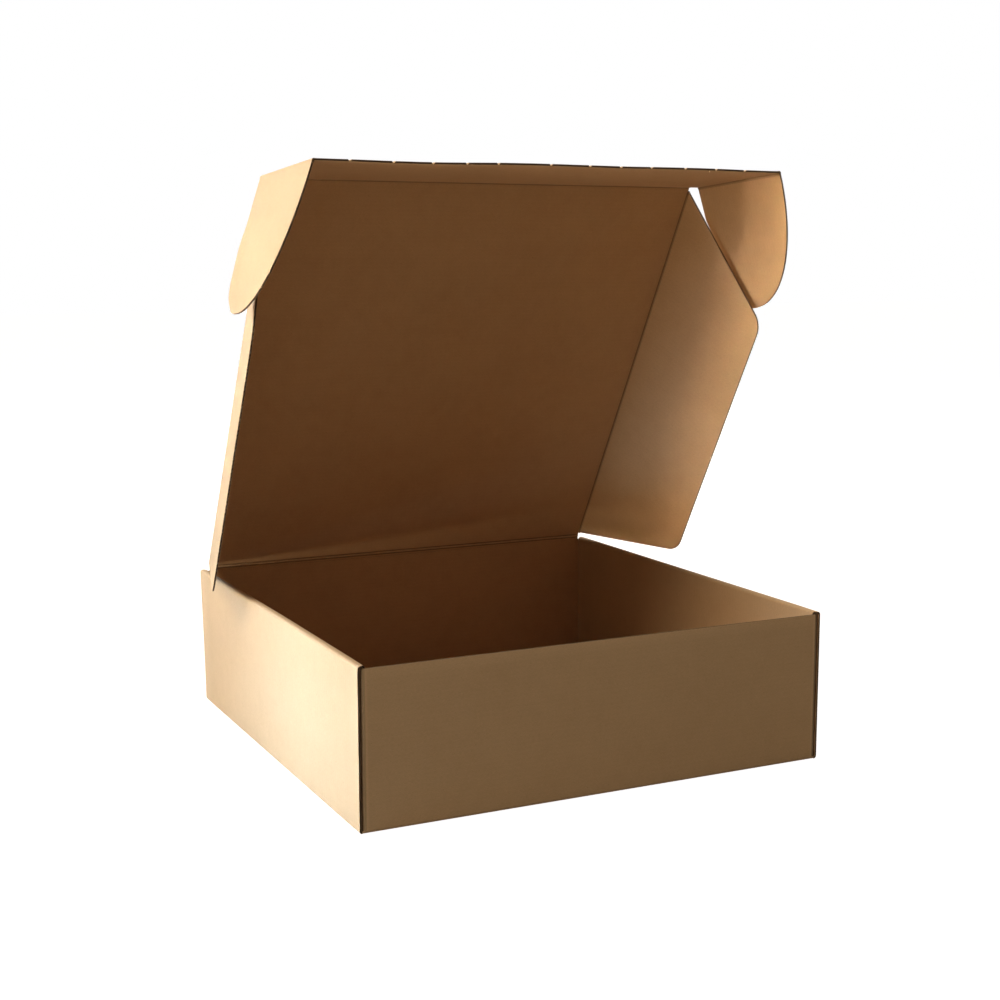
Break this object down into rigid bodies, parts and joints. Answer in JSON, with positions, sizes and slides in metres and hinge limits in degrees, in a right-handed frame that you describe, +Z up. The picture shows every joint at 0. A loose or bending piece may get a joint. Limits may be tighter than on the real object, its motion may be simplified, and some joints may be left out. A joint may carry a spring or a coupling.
{
  "type": "corrugated mailer box",
  "caption": "Shallow square corrugated mailer box with a roll-over tray, standing open, with hinged lid, side flaps, tuck flap and locking ears.",
  "frame": {"origin": "centre of the tray's underside, on the surface that the box stands on", "axes": "+Z up, the front of the box faces -Y, and +X is to the right as seen from the front"},
  "size_m": [0.3741, 0.317, 0.3805],
  "materials": {
    "kraft_board": "matt kraft liner on both faces"
  },
  "bodies": {
    "tray": {"tray": "kraft_board"},
    "lid": {"lid_panel": "kraft_board"},
    "flap_left": {"lid_flap_left": "kraft_board"},
    "flap_right": {"lid_flap_right": "kraft_board"},
    "tuck": {"tuck_flap": "kraft_board"},
    "ear_left": {"ear_left": "kraft_board"},
    "ear_right": {"ear_right": "kraft_board"}
  },
  "joints": [
    {"name": "lid_hinge", "type": "hinge", "parent": "tray", "child": "lid", "pos_m": [0, 0.15775, 0.1], "axis": [-1, 0, 0], "range_deg": [-8, 130]},
    {"name": "flap_left_fold", "type": "hinge", "parent": "lid", "child": "flap_left", "pos_m": [-0.1542, 0.07708, 0.23656], "axis": [0, 0.5045, -0.8634], "range_deg": [-100, 3]},
    {"name": "flap_right_fold", "type": "hinge", "parent": "lid", "child": "flap_right", "pos_m": [0.1542, 0.07708, 0.23656], "axis": [0, -0.5045, 0.8634], "range_deg": [-100, 1.5]},
    {"name": "tuck_fold", "type": "hinge", "parent": "lid", "child": "tuck", "pos_m": [0, -0.00293, 0.37349], "axis": [-1, 0, 0], "range_deg": [-13, 56.5]},
    {"name": "ear_left_fold", "type": "hinge", "parent": "tuck", "child": "ear_left", "pos_m": [-0.1596, -0.05251, 0.37626], "axis": [0, 0.9984, -0.0558], "range_deg": [-3.5, 71]},
    {"name": "ear_right_fold", "type": "hinge", "parent": "tuck", "child": "ear_right", "pos_m": [0.1596, -0.05251, 0.37626], "axis": [0, -0.9984, 0.0558], "range_deg": [-1.5, 75]}
  ]
}
